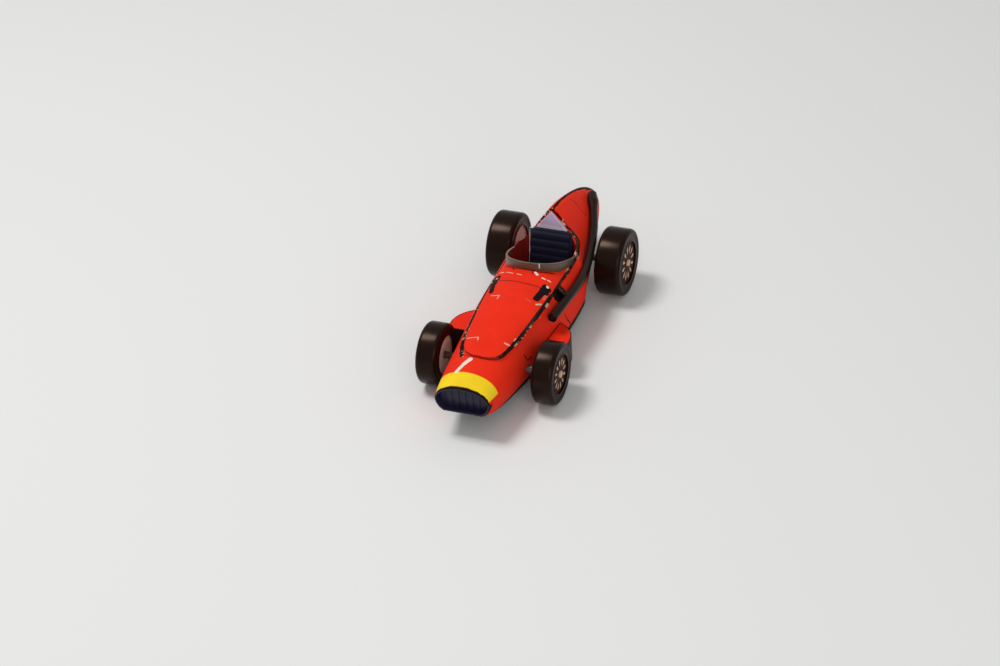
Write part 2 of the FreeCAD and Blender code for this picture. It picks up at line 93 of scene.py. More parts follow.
WHEELS = [axle + "_" + side for axle in ("front", "rear") for side in ("left", "right")]
HUB = {wheel: middle("tyre_" + wheel) for wheel in WHEELS}
SCREEN_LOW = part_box("windscreen")[0]
PAD_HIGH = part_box("headrest_pad")[1]
GRILLE_LOW, GRILLE_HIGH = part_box("nose_grille")
SEAT_LOW, SEAT_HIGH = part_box("seat")


def outward(wheel):
    """1 for a wheel on the car's left and -1 for one on its right."""
    return 1 if HUB[wheel].x > 0 else -1


print("hubs:", {wheel: tuple(round(c / MM, 2) for c in HUB[wheel]) for wheel in WHEELS})

# %% [markdown]
# ## Working with selections
# The operators of Blender act on whatever is selected, so each step starts from nothing selected.
# Edges and faces are then picked by a test on their place or their direction.
# %% Working with selections
def deselect_all():
    if bpy.context.object and bpy.context.object.mode != "OBJECT":
        bpy.ops.object.mode_set(mode="OBJECT")
    bpy.ops.object.select_all(action="DESELECT")


def activate(piece):
    deselect_all()
    piece.select_set(True)
    bpy.context.view_layer.objects.active = piece


def edit(piece, kind="FACE"):
    """Edit mode on one piece, with nothing selected in it."""
    activate(piece)
    bpy.ops.object.mode_set(mode="EDIT")
    bpy.ops.mesh.select_mode(type=kind)
    bpy.ops.mesh.select_all(action="DESELECT")
    return bmesh.from_edit_mesh(piece.data)


def pick(piece, kind, test):
    """Selects the faces, edges or vertices that pass a test, and says how many."""
    mesh = edit(piece, kind)
    items = {"FACE": mesh.faces, "EDGE": mesh.edges, "VERT": mesh.verts}[kind]
    count = 0
    for item in items:
        if test(item):
            item.select_set(True)
            count += 1
    mesh.select_flush_mode()
    bmesh.update_edit_mesh(piece.data)
    return count


def apply_modifier(piece, kind, name, **values):
    activate(piece)
    modifier = piece.modifiers.new(name, kind)
    for key, value in values.items():
        setattr(modifier, key, value)
    bpy.ops.object.modifier_apply(modifier=modifier.name)


def settle(piece):
    """Leaves the piece's object at the origin, with its place in its mesh."""
    activate(piece)
    bpy.ops.object.transform_apply(location=True, rotation=True, scale=True)


def smooth(piece, degrees=32):
    activate(piece)
    bpy.ops.object.shade_smooth_by_angle(angle=math.radians(degrees))


print("solids that arrive selected:", len(bpy.context.selected_objects))

# %% [markdown]
# ## A softened copy of a solid
# A real moulded or glued toy has no knife-sharp edges. The solids stay as they are, so a copy of
# each mesh is merged, its flat triangles are joined up, and its sharp edges get a narrow bevel
# that catches the light.
# %% A softened copy of a solid
MERGE_WITHIN, FLAT_WITHIN = 0.002 * MM, math.radians(0.4)


def softened(node, name, bevel, steps=2, degrees=35):
    """A copy of a solid, with its triangles joined up and its sharp edges bevelled."""
    source = NODES[node]
    piece = bpy.data.objects.new(name, source.data.copy())
    bpy.context.scene.collection.objects.link(piece)
    piece.data.materials.clear()
    edit(piece, "VERT")
    bpy.ops.mesh.select_all(action="SELECT")
    bpy.ops.mesh.remove_doubles(threshold=MERGE_WITHIN)
    bpy.ops.mesh.customdata_custom_splitnormals_clear()
    bpy.ops.mesh.dissolve_limited(angle_limit=FLAT_WITHIN)
    deselect_all()
    if bevel:
        apply_modifier(piece, "BEVEL", "soft_edges", width=bevel, segments=steps,
                       limit_method="ANGLE", angle_limit=math.radians(degrees))
    smooth(piece)
    print(name, "faces:", len(piece.data.polygons))
    return piece


def dress(piece, body, replaced, slot, *materials):
    """Puts a piece on its body, with its finish, in place of the solid that it stands for."""
    for material in materials:
        piece.data.materials.append(material)
    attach(piece, body)
    if replaced:
        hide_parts(*replaced)


# %% [markdown]
# ## Building materials in code
# A material is a small web of nodes. These helpers add a node, set its values and link it, so each
# finish below reads as a short recipe.
# %% Building materials in code
def new_material(name, colour, roughness, **sockets):
    """A material with its Principled BSDF set, and the tree and the shader to build on."""
    material = bpy.data.materials.new(name)
    material.use_nodes = True
    tree = material.node_tree
    shader = tree.nodes["Principled BSDF"]
    shader.inputs["Base Color"].default_value = (*colour, 1)
    shader.inputs["Roughness"].default_value = roughness
    for key, value in sockets.items():
        shader.inputs[key.replace("_", " ")].default_value = value
    material.diffuse_color = (*colour, 1)
    return material, tree, shader


def add(tree, kind, inputs=None, **values):
    node = tree.nodes.new(kind)
    for key, value in values.items():
        setattr(node, key, value)
    for key, value in (inputs or {}).items():
        if isinstance(value, bpy.types.NodeSocket):
            tree.links.new(value, node.inputs[key])
        else:
            node.inputs[key].default_value = value
    return node


# %% [markdown]
# ## Sums and mixtures
# A mark is a mask, and a mask is a sum. A Math node works on numbers, and a Mix node lays one colour
# over another. Each input takes either a plain value or a link from another node.
# %% Sums and mixtures
def math_node(tree, operation, first, second=0.0, clamp=False):
    node = add(tree, "ShaderNodeMath", operation=operation, use_clamp=clamp)
    for index, value in enumerate((first, second)):
        if isinstance(value, bpy.types.NodeSocket):
            tree.links.new(value, node.inputs[index])
        else:
            node.inputs[index].default_value = value
    return node.outputs[0]


def mix_colour(tree, factor, first, second):
    node = add(tree, "ShaderNodeMix", data_type="RGBA")
    for index, value in ((0, factor), (6, first), (7, second)):
        if isinstance(value, bpy.types.NodeSocket):
            tree.links.new(value, node.inputs[index])
        elif index:
            node.inputs[index].default_value = (*value[:3], 1)
        else:
            node.inputs[index].default_value = value
    return node.outputs[2]


# %% [markdown]
# ## Groups of nodes
# An effect that several finishes share is built once, as a group with named inputs and outputs. Each
# finish then uses it with its own values. Every pattern reads Object coordinates, so it stays where
# it is on its piece.
# %% Groups of nodes
def place_of(tree):
    return add(tree, "ShaderNodeTexCoord").outputs["Object"]


def new_group(name, inputs, outputs):
    """An empty node group with named sockets; returns the tree, its inputs and its output node."""
    group = bpy.data.node_groups.new(name, "ShaderNodeTree")
    for label, kind, value in inputs:
        socket = group.interface.new_socket(label, in_out="INPUT", socket_type="NodeSocket" + kind)
        if value is not None:
            socket.default_value = value
    for label, kind in outputs:
        group.interface.new_socket(label, in_out="OUTPUT", socket_type="NodeSocket" + kind)
    start = group.nodes.new("NodeGroupInput")
    end = group.nodes.new("NodeGroupOutput")
    return group, start.outputs, end


def use_group(tree, group, inputs):
    node = tree.nodes.new("ShaderNodeGroup")
    node.node_tree = group
    for key, value in inputs.items():
        if isinstance(value, bpy.types.NodeSocket):
            tree.links.new(value, node.inputs[key])
        else:
            node.inputs[key].default_value = value
    return node.outputs


# %% [markdown]
# ## A drawn line
# The toy's details are inked by hand: outlines, latches and panel lines. Each is a thick line from
# one point to the next. The first group measures how far a point of the surface is from one stretch
# of it. The Weight input says which directions count: (1, 1, 0) measures in plan, so the line
# drapes over the surface below it.
# %% How far from a line
PLAN, SOLID = (1, 1, 0), (1, 1, 1)


def build_line_distance():
    group, given, end = new_group(
        "line_distance",
        [("Place", "Vector", None), ("From", "Vector", None), ("To", "Vector", None),
         ("Weight", "Vector", PLAN)],
        [("Distance", "Float")])

    def vector(operation, first, second):
        node = add(group, "ShaderNodeVectorMath", operation=operation)
        group.links.new(first, node.inputs[0])
        group.links.new(second, node.inputs[1])
        return node.outputs

    here = vector("MULTIPLY", given["Place"], given["Weight"])[0]
    start = vector("MULTIPLY", given["From"], given["Weight"])[0]
    stop = vector("MULTIPLY", given["To"], given["Weight"])[0]
    away = vector("SUBTRACT", here, start)[0]
    along = vector("SUBTRACT", stop, start)[0]
    share = math_node(group, "DIVIDE", vector("DOT_PRODUCT", away, along)["Value"],
                      vector("DOT_PRODUCT", along, along)["Value"], clamp=True)
    scaled = add(group, "ShaderNodeVectorMath", operation="SCALE")
    group.links.new(along, scaled.inputs[0])
    group.links.new(share, scaled.inputs["Scale"])
    gap = add(group, "ShaderNodeVectorMath", operation="LENGTH")
    group.links.new(vector("SUBTRACT", away, scaled.outputs[0])[0], gap.inputs[0])
    group.links.new(gap.outputs["Value"], end.inputs["Distance"])
    return group


LINE_DISTANCE = build_line_distance()
print("sockets of a line:", [item.name for item in LINE_DISTANCE.interface.items_tree])

# %% [markdown]
# ## The stroke of the brush
# The second group turns a distance into ink: a mask that is 1 inside the line, and a fringe just
# outside it where the paint is worn through.
# %% Ink from a distance
def build_stroke():
    group, given, end = new_group(
        "stroke",
        [("Distance", "Float", 1.0), ("Half Width", "Float", 0.2 * MM),
         ("Softness", "Float", 0.05 * MM), ("Fringe Width", "Float", 0.14 * MM)],
        [("Mask", "Float"), ("Fringe", "Float")])
    reach = math_node(group, "ADD", given["Half Width"], given["Fringe Width"])
    for label, limit in (("Mask", given["Half Width"]), ("Fringe", reach)):
        inner = math_node(group, "SUBTRACT", limit, given["Softness"])
        outer = math_node(group, "ADD", limit, given["Softness"])
        ramp = add(group, "ShaderNodeMapRange",
                   {"Value": given["Distance"], "From Min": inner, "From Max": outer,
                    "To Min": 1.0, "To Max": 0.0},
                   interpolation_type="SMOOTHSTEP")
        group.links.new(ramp.outputs[0], end.inputs[label])
    return group


STROKE = build_stroke()
print("sockets of a stroke:", [item.name for item in STROKE.interface.items_tree])

# %% [markdown]
# ## A hand that isn't steady
# A line inked with a brush on a toy this small wanders and swells a little. Moving the place by a
# small noise before the line is measured gives that, for every line at once. Taking the absolute
# value of X draws a line on both flanks.
# %% A hand that isn't steady
NOISE_MIDDLE = 0.5


def build_unsteady():
    group, given, end = new_group(
        "unsteady_hand",
        [("Place", "Vector", None), ("Wander", "Float", 0.22 * MM), ("Scale", "Float", 900.0)],
        [("Place", "Vector"), ("Both Flanks", "Vector")])
    noise = add(group, "ShaderNodeTexNoise",
                {"Vector": given["Place"], "Scale": given["Scale"], "Detail": 2.0})
    centred = add(group, "ShaderNodeVectorMath",
                  {0: noise.outputs["Color"], 1: (NOISE_MIDDLE, NOISE_MIDDLE, NOISE_MIDDLE)},
                  operation="SUBTRACT")
    moved = add(group, "ShaderNodeVectorMath", {0: centred.outputs[0]}, operation="SCALE")
    group.links.new(given["Wander"], moved.inputs["Scale"])
    place = add(group, "ShaderNodeVectorMath", {0: given["Place"], 1: moved.outputs[0]},
                operation="ADD")
    parts = add(group, "ShaderNodeSeparateXYZ", {0: place.outputs[0]})
    flank = math_node(group, "ABSOLUTE", parts.outputs[0])
    both = add(group, "ShaderNodeCombineXYZ", {0: flank, 1: parts.outputs[1], 2: parts.outputs[2]})
    group.links.new(place.outputs[0], end.inputs["Place"])
    group.links.new(both.outputs[0], end.inputs["Both Flanks"])
    return group


UNSTEADY = build_unsteady()
print("sockets of the hand:", [item.name for item in UNSTEADY.interface.items_tree])

# %% [markdown]
# ## Uneven ink
# A painted skin is never one flat colour: the ink is a little uneven, the sheen changes from place
# to place, and the surface has a fine tooth. One group makes these from noise at two scales.
# %% Uneven ink
BROAD_SCALE, FINE_SCALE = 260.0, 2600.0
TOOTH_STRENGTH = 0.25


def build_ink():
    group, given, end = new_group(
        "uneven_ink",
        [("Place", "Vector", None), ("Colour", "Color", (1, 1, 1, 1)), ("Amount", "Float", 0.15),
         ("Sheen", "Float", 0.4), ("Sheen Change", "Float", 0.12)],
        [("Colour", "Color"), ("Roughness", "Float"), ("Tooth", "Float")])
    broad = add(group, "ShaderNodeTexNoise",
                {"Vector": given["Place"], "Scale": BROAD_SCALE, "Detail": 4.0})
    fine = add(group, "ShaderNodeTexNoise",
               {"Vector": given["Place"], "Scale": FINE_SCALE, "Detail": 2.0})
    change = math_node(group, "SUBTRACT", broad.outputs[0], NOISE_MIDDLE)
    value = math_node(group, "MULTIPLY_ADD", change, given["Amount"])
    value.node.inputs[2].default_value = 1.0
    shade = add(group, "ShaderNodeHueSaturation", {"Color": given["Colour"], "Value": value})
    group.links.new(shade.outputs[0], end.inputs["Colour"])
    rough = math_node(group, "MULTIPLY_ADD", change, given["Sheen Change"])
    group.links.new(given["Sheen"], rough.node.inputs[2])
    group.links.new(rough, end.inputs["Roughness"])
    group.links.new(fine.outputs[0], end.inputs["Tooth"])
    return group


INK = build_ink()
print("sockets of the ink:", [item.name for item in INK.interface.items_tree])


def inked(name, colour, roughness, amount=0.25, change=0.2, tooth=0.02, paint=None, **sockets):
    """A painted finish; paint may lay marks over the colour before the ink is varied."""
    material, tree, shader = new_material(name, colour, roughness, **sockets)
    place = place_of(tree)
    base = paint(tree, place) if paint else (*colour, 1)
    ink = use_group(tree, INK, {"Place": place, "Colour": base, "Amount": amount,
                                "Sheen": roughness, "Sheen Change": change})
    tree.links.new(ink["Colour"], shader.inputs["Base Color"])
    tree.links.new(ink["Roughness"], shader.inputs["Roughness"])
    bump = add(tree, "ShaderNodeBump",
               {"Height": ink["Tooth"], "Strength": TOOTH_STRENGTH, "Distance": tooth * MM})
    tree.links.new(bump.outputs[0], shader.inputs["Normal"])
    return material


# %% [markdown]
# ## The colours
# The body is a bright orange-red. The rest is ink too: a yellow band, a white bar, black outlines,
# a lavender pad, a grey-brown screen, and the pale card that shows where the paint is worn.
# %% The colours
RED = (0.84, 0.030, 0.011)
# The cockpit well's darker red is painted shade on its walls and floor.
WELL = (0.20, 0.006, 0.004)
DARK_RED = (0.16, 0.006, 0.004)
PINK = (0.66, 0.12, 0.09)
YELLOW = (0.92, 0.64, 0.022)
WHITE = (0.80, 0.72, 0.60)
CARD = (0.66, 0.50, 0.36)
BLACK = (0.010, 0.007, 0.006)
BROWN = (0.050, 0.034, 0.020)
LAVENDER = (0.54, 0.42, 0.60)
LILAC = (0.66, 0.56, 0.70)
SCREEN = (0.11, 0.066, 0.042)
NAVY = (0.010, 0.011, 0.026)
MOUTH = (0.014, 0.011, 0.034)
SCREEN_RIM = (0.24, 0.17, 0.12)
FRONT_INK = (0.26, 0.018, 0.010)
PIPE_INK = (0.010, 0.005, 0.0035)
# The tyres' black has a brown tint that is a painted warm reflection.
TYRE_INK_WARM_REFLECTION = (0.009, 0.0042, 0.003)
WALL_INK = (0.011, 0.0045, 0.0035)
DISC_INK = (0.036, 0.007, 0.004)
PETAL = (0.60, 0.37, 0.23)
INNER_DISC = (0.46, 0.52, 0.44)
STEEL = (0.16, 0.145, 0.13)
print("red, green and blue of the body:", RED)

# %% [markdown]
# ## The inked marks
# Each row is one mark: a name, the paints it lies in, whether it is on both flanks, the directions
# that count, its half width, its colour, whether its edge is worn, and its points in millimetres in
# the car's own frame. A mark with two points close together is a dot. The body has two paints, front
# and rear of the cockpit's middle, so that neither has to carry every mark. Most marks are ink, but
# the screen's shadow is painted shade, the black round the exhaust stub's foot is partly painted
# shade, and the short pale tick on the screen is a painted highlight.
# %% The inked marks
MARKS = [
    ("bonnet edge left", "front", 0, PLAN, 0.09, BLACK, 1,
     [(5.8, -8.2), (5.4, -13.6), (5.1, -16.7), (4.75, -20.6)]),
    ("bonnet corner left", "front bonnet", 0, PLAN, 0.09, BLACK, 1, [(4.55, -21.2), (4.0, -24.5)]),
    ("bonnet nose left", "front bonnet", 0, PLAN, 0.09, BLACK, 1, [(4.0, -24.5), (3.3, -26.2)]),
    ("bonnet front", "front bonnet", 0, PLAN, 0.06, DARK_RED, 0,
     [(3.3, -26.2), (2.3, -27.0), (1.3, -27.3), (-0.5, -27.3), (-2.0, -26.9)]),
    ("bonnet corner right", "front bonnet", 0, PLAN, 0.34, BLACK, 1, [(-2.6, -27.0), (-3.6, -24.1)]),
    ("bonnet edge right", "front bonnet", 0, PLAN, 0.36, BLACK, 1,
     [(-3.7, -24.0), (-4.55, -20.4), (-4.8, -16.0), (-5.1, -11.0), (-5.4, -4.0)]),
    ("vent right", "front bonnet", 0, PLAN, 0.74, BLACK, 0, [(-4.9, -3.8), (-4.3, -7.2)]),
    ("vent tip right", "front bonnet", 0, PLAN, 0.42, BLACK, 0, [(-4.2, -7.2), (-3.6, -9.9)]),
    ("vent glow right", "front bonnet", 0, PLAN, 0.14, DARK_RED, 0, [(-4.5, -7.4), (-4.3, -8.6)]),
    ("rivet right", "front", 0, PLAN, 0.20, WHITE, 0, [(-4.72, -4.1), (-4.7, -4.15)]),
    ("vent left", "front bonnet", 0, PLAN, 0.80, BLACK, 0, [(4.6, -4.8), (4.85, -6.6)]),
    ("vent tip left", "front bonnet", 0, PLAN, 0.54, BLACK, 0, [(4.65, -7.0), (4.35, -9.4)]),
    ("vent glow left", "bonnet", 0, PLAN, 0.16, PINK, 0, [(5.4, -7.3), (5.35, -8.4)]),
    ("rivet left", "front", 0, PLAN, 0.25, WHITE, 0, [(4.66, -4.3), (4.66, -4.35)]),
    ("flank line", "front rear", 1, SOLID, 0.28, BLACK, 1,
     [(5.8, -8.2, 10.9), (5.73, -5.6, 11.1), (5.8, -0.6, 11.2), (5.95, 3.0, 11.15), (5.9, 6.0, 11.4)]),
    ("flank core", "front rear", 1, SOLID, 0.09, BROWN, 0,
     [(5.73, -5.6, 11.1), (5.8, -0.6, 11.2), (5.95, 3.0, 11.15)]),
    ("rim band", "rear", 1, SOLID, 0.52, BROWN, 1,
     [(5.8, 5.0, 11.4), (5.65, 7.2, 11.4), (5.3, 9.4, 11.35), (4.85, 11.1, 11.5), (4.4, 12.0, 12.1),
      (3.8, 12.1, 12.95)]),
    ("rim outside", "rear", 1, SOLID, 0.26, BLACK, 1,
     [(5.9, 6.0, 11.35), (5.8, 8.0, 11.2), (5.4, 10.0, 11.0), (5.0, 11.6, 10.95), (4.7, 12.4, 11.25),
      (4.3, 12.6, 11.8), (3.8, 12.4, 12.7), (3.15, 12.0, 13.9)]),
    ("rim worn right", "rear", 0, SOLID, 0.12, CARD, 0, [(-5.6, 6.6, 11.7), (-5.15, 9.4, 11.65)]),
    ("rim bare right", "rear", 0, SOLID, 0.20, WHITE, 0, [(-5.15, 9.3, 11.65), (-4.85, 10.7, 11.8)]),
    ("headrest edge", "rear", 1, SOLID, 0.24, BLACK, 1,
     [(3.15, 11.8, 13.9), (1.6, 11.6, 16.1), (0.2, 11.7, 17.6)]),
    ("ridge", "rear", 0, PLAN, 0.30, BLACK, 1,
     [(0.1, 11.8), (0.0, 15.5), (0.0, 19.0), (0.05, 22.5), (0.25, 26.2), (0.45, 29.4), (0.1, 34.0)]),
    ("cowl dash one", "front", 0, PLAN, 0.09, CARD, 1, [(-5.0, -2.0), (-4.0, -2.6)]),
    ("cowl dash two", "front", 0, PLAN, 0.08, CARD, 1, [(-3.4, -2.9), (-1.9, -3.5)]),
    ("cowl dash three", "front", 0, PLAN, 0.08, CARD, 1, [(-1.2, -3.7), (-0.2, -3.9)]),
    ("cowl wear left", "front", 0, PLAN, 0.14, WHITE, 1, [(3.2, -3.0), (3.7, -2.9)]),
    ("cowl wear side", "front", 0, PLAN, 0.12, WHITE, 1, [(4.2, -2.75), (4.6, -2.7)]),
    ("cowl blot", "front", 0, PLAN, 0.24, WHITE, 1, [(1.8, -2.4), (2.2, -2.7)]),
    ("screen foot right", "front", 0, PLAN, 0.10, DARK_RED, 0, [(-2.5, -1.6), (-2.3, -2.3)]),
    ("screen foot left", "front", 0, PLAN, 0.10, DARK_RED, 0, [(1.25, -2.2), (1.5, -3.0)]),
    ("screen shadow", "front", 0, PLAN, 0.12, DARK_RED, 0,
     [(-4.4, -0.4), (-2.4, -1.9), (0.0, -2.25), (2.4, -1.85), (4.4, -0.4)]),
    ("bonnet rear", "bonnet", 0, PLAN, 0.09, DARK_RED, 0,
     [(-3.6, -6.35), (-0.8, -6.6), (1.3, -6.65), (4.0, -6.15)]),
    ("latch rear right", "bonnet", 0, PLAN, 0.08, CARD, 1, [(-3.1, -11.2), (-1.6, -11.1), (-1.7, -12.1)]),
    ("latch front right", "bonnet", 0, PLAN, 0.08, CARD, 1, [(-3.2, -22.9), (-1.1, -22.8), (-0.95, -23.5)]),
    ("latch front left", "bonnet", 0, PLAN, 0.13, CARD, 1, [(3.5, -22.45), (4.2, -22.3)]),
    ("latch tip left", "front bonnet", 0, PLAN, 0.15, CARD, 1, [(4.6, -20.8), (4.7, -20.2)]),
    ("latch rear left", "bonnet", 0, PLAN, 0.14, CARD, 1, [(4.8, -10.6), (5.45, -9.9)]),
    ("latch dots left", "bonnet", 0, PLAN, 0.09, PINK, 1, [(3.0, -10.5), (3.9, -10.7)]),
    ("latch hook left", "front", 0, PLAN, 0.17, CARD, 1, [(5.75, -8.5), (5.8, -7.6)]),
    ("white bar", "front", 0, PLAN, 0.35, WHITE, 0, [(-2.05, -30.9), (-1.2, -28.9)]),
    ("white bar rear", "front", 0, PLAN, 0.41, WHITE, 0, [(-1.3, -29.1), (-0.65, -27.95)]),
    # The black round the stub's foot is partly the dark block at the stub and partly painted shade.
    ("stub root and shade", "front", 0, SOLID, 1.05, BLACK, 0, [(6.1, -4.2, 10.4), (6.4, -2.2, 10.0)]),
    ("arm mark", "front", 1, SOLID, 0.13, BLACK, 0,
     [(5.9, -20.2, 8.5), (6.3, -19.7, 7.2), (6.4, -17.9, 6.7)]),
    ("lobe seam", "front", 1, SOLID, 0.12, BLACK, 0,
     [(7.5, -4.1, 7.0), (7.6, -3.2, 5.2), (7.45, -1.0, 2.7)]),
    ("tail seam", "rear", 0, SOLID, 0.08, DARK_RED, 0,
     [(0.95, 19.1, 15.6), (1.7, 19.7, 14.4), (2.7, 19.6, 13.0), (3.3, 20.3, 11.8)]),
    ("tail crease", "rear", 0, SOLID, 0.06, DARK_RED, 0, [(1.4, 23.1, 13.7), (2.0, 23.3, 12.9)]),
    # A painted highlight: a short pale tick on the front of the screen.
    ("screen highlight tick", "screen", 0, SOLID, 0.10, WHITE, 0, [(2.25, -1.6, 14.7), (2.25, -1.6, 13.9)]),
    ("seat edge", "seat", 0, SOLID, 0.12, CARD, 0, [(-4.0, 10.7, 13.4), (-4.0, 9.6, 6.9)]),
    ("seat corner", "seat", 0, SOLID, 0.20, LILAC, 0, [(-3.9, 10.9, 13.8), (-3.5, 10.9, 13.8)]),
    ("pad lip", "pad", 0, SOLID, 0.34, LILAC, 0, [(-2.8, 11.0, 14.35), (2.8, 11.0, 14.35)]),
]
print("marks:", len(MARKS), "with", sum(len(row[-1]) - 1 for row in MARKS), "stretches")

# %% [markdown]
# ## Laying the marks
# A paint goes through the table and lays its own marks one over the other. The nearest stretch of a
# mark gives its distance, and the stroke turns that into ink. Where two noises are both high, the
# fringe beside a worn mark shows the pale card.
# %% Laying the marks
SPECK_SCALE, SPECK_RANGE = 1700.0, (0.57, 0.64)
PATCH_SCALE, PATCH_RANGE = 330.0, (0.52, 0.60)


def in_metres(point):
    """A point of the table; a point in plan has no height of its own."""
    return tuple(value * MM for value in (*point, 0.0)[:3])


def where_high(tree, place, scale, detail, limits):
    """1 where a noise is above the limits and 0 where it is below them."""
    noise = add(tree, "ShaderNodeTexNoise", {"Vector": place, "Scale": scale, "Detail": detail})
    return add(tree, "ShaderNodeMapRange", {"Value": noise.outputs[0], "From Min": limits[0],
                                            "From Max": limits[1]}).outputs[0]


def lay_marks(tree, place, colour, paint_name):
    """Draws the table's marks for one paint over a colour, and wears the paint beside them."""
    hand = use_group(tree, UNSTEADY, {"Place": place})
    fringe = None
    for _, paints, mirrored, weight, half, ink, worn, points in MARKS:
        if paint_name not in paints.split():
            continue
        here = hand["Both Flanks"] if mirrored else hand["Place"]
        nearest = None
        for start, stop in zip(points, points[1:]):
            line = use_group(tree, LINE_DISTANCE, {"Place": here, "From": in_metres(start),
                                                   "To": in_metres(stop), "Weight": weight})
            distance = line["Distance"]
            nearest = distance if nearest is None else math_node(tree, "MINIMUM", nearest, distance)
        stroke = use_group(tree, STROKE, {"Distance": nearest, "Half Width": half * MM})
        colour = mix_colour(tree, stroke["Mask"], colour, ink)
        if worn:
            edge = stroke["Fringe"]
            fringe = edge if fringe is None else math_node(tree, "MAXIMUM", fringe, edge)
    if fringe is not None:
        specks = where_high(tree, place, SPECK_SCALE, 2.0, SPECK_RANGE)
        patches = where_high(tree, place, PATCH_SCALE, 1.0, PATCH_RANGE)
        bare = math_node(tree, "MULTIPLY", specks, patches)
        colour = mix_colour(tree, math_node(tree, "MULTIPLY", bare, fringe), colour, CARD)
    return colour


for paint_name in ("front", "rear", "bonnet"):
    print("marks in the", paint_name, "paint:", sum(paint_name in row[1].split() for row in MARKS))

# %% [markdown]
# ## The red paint
# The body's paint has three more parts that follow the form: the yellow band round the upper nose,
# the black round the mouth and under the lip, and the black foot of the flanks.
# %% The red paint
BAND_LENGTH, BAND_FOOT = 3.35 * MM, 7.75 * MM
MOUTH_EDGE, LIP_LENGTH, LIP_TOP = 0.50 * MM, 1.3 * MM, 7.2 * MM
# The black foot of the flanks is partly the black underside and partly painted shade low on the flank.
FOOT_TOP = 3.1 * MM


def below(tree, value, limit, softness=0.08 * MM):
    """1 where the value is under the limit."""
    return add(tree, "ShaderNodeMapRange", {"Value": value, "From Min": limit + softness,
                                            "From Max": limit - softness}, clamp=True).outputs[0]


def both(tree, first, second):
    return math_node(tree, "MULTIPLY", first, second)


def body_paint(part):
    """The red paint of one part of the body, with the band, the lip, the foot and its marks."""
    return lambda tree, place: paint_body(tree, place, part)


def paint_body(tree, place, part):
    hand = use_group(tree, UNSTEADY, {"Place": place, "Wander": 0.35 * MM})
    steady = add(tree, "ShaderNodeSeparateXYZ", {"Vector": place}).outputs
    shaky = add(tree, "ShaderNodeSeparateXYZ", {"Vector": hand["Place"]}).outputs
    along, height = steady[1], steady[2]
    upper = math_node(tree, "SUBTRACT", 1.0, below(tree, height, BAND_FOOT))
    band = both(tree, below(tree, along, CAD_LOW.y + BAND_LENGTH), upper)
    colour = mix_colour(tree, band, RED, YELLOW)
    colour = lay_marks(tree, place, colour, part)
    lip = both(tree, below(tree, shaky[1], CAD_LOW.y + LIP_LENGTH), below(tree, shaky[2], LIP_TOP))
    colour = mix_colour(tree, lip, colour, BLACK)
    colour = mix_colour(tree, below(tree, shaky[1], CAD_LOW.y + MOUTH_EDGE), colour, BLACK)
    # The black foot: partly the underside, partly painted shade next to the floor.
    return mix_colour(tree, below(tree, shaky[2], FOOT_TOP), colour, BLACK)


def marked(base, paint_name):
    """A paint function for a piece of one colour with marks from the table."""
    return lambda tree, place: lay_marks(tree, place, (*base, 1), paint_name)


print("yellow band, mm:", round(BAND_LENGTH / MM, 2), "down to", round(BAND_FOOT / MM, 2))

# %% [markdown]
# ## The finishes
# Each piece's finish is the ink over its own colour, with more or less sheen. The red is nearly
# without gloss, the pipe and the tyres shine, and the axles are bare steel wire.
# %% The finishes
# A warm tint on the reflections of the pipe, the tyres and the wheel faces: a painted warm reflection.
WARM_REFLECTION_TINT = (1.0, 0.62, 0.48, 1.0)
SATIN = {"Specular_IOR_Level": 0.05, "Specular_Tint": (1.0, 0.45, 0.35, 1.0)}
RED_FRONT = inked("red_paint_front", RED, 0.54, paint=body_paint("front"), **SATIN)
RED_REAR = inked("red_paint_rear", RED, 0.54, paint=body_paint("rear"), **SATIN)
BONNET_PAINT = inked("bonnet_paint", RED, 0.48, paint=marked(RED, "bonnet"), **SATIN)
LOBE_PAINT = inked("lobe_paint", RED, 0.46, **SATIN)
DARK_EDGE = inked("dark_edge", BLACK, 0.5, Specular_IOR_Level=0.2)
# The well's finish is the body's red darkened as painted shade.
WELL_PAINTED_SHADE = inked("well_painted_shade", WELL, 0.6, Specular_IOR_Level=0.2)
SCREEN_PAINT = inked("screen_paint", SCREEN, 0.34, amount=0.9, paint=marked(SCREEN, "screen"))
SCREEN_EDGE = inked("screen_edge", SCREEN_RIM, 0.55, amount=2.4, Specular_IOR_Level=0.2)
FRONT_LINE = inked("front_line", FRONT_INK, 0.5, Specular_IOR_Level=0.2)
PAD_PAINT = inked("pad_paint", LAVENDER, 0.5, amount=0.6, paint=marked(LAVENDER, "pad"),
                  Specular_IOR_Level=0.25)
SEAT_PAINT = inked("seat_paint", NAVY, 0.36, paint=marked(NAVY, "seat"), Specular_IOR_Level=0.35)
MOUTH_NAVY = inked("mouth_navy", MOUTH, 0.42, amount=0.6, Specular_IOR_Level=0.35)
UNDERSIDE = inked("underside_black", BLACK, 0.6, Specular_IOR_Level=0.25)
PIPE_BLACK = inked("pipe_black_gloss", PIPE_INK, 0.24, Specular_IOR_Level=0.3,
                   Specular_Tint=WARM_REFLECTION_TINT)
TYRE_BLACK = inked("tyre_gloss", TYRE_INK_WARM_REFLECTION, 0.25, amount=0.5,
                   Specular_IOR_Level=0.17, Specular_Tint=WARM_REFLECTION_TINT)
SIDEWALL = inked("sidewall_brown", WALL_INK, 0.38,
                 Specular_IOR_Level=0.12, Specular_Tint=WARM_REFLECTION_TINT)
WHEEL_DARK = inked("wheel_dark_ink", DISC_INK, 0.5, Specular_IOR_Level=0.06,
                   Specular_Tint=WARM_REFLECTION_TINT)
PETAL_PALE = inked("petal_pale_ink", PETAL, 0.5)
INNER_PALE = inked("inner_disc_ink", INNER_DISC, 0.5, amount=0.9)
WIRE = inked("axle_wire_steel", STEEL, 0.4, Metallic=1.0)
print("materials:", len(bpy.data.materials))
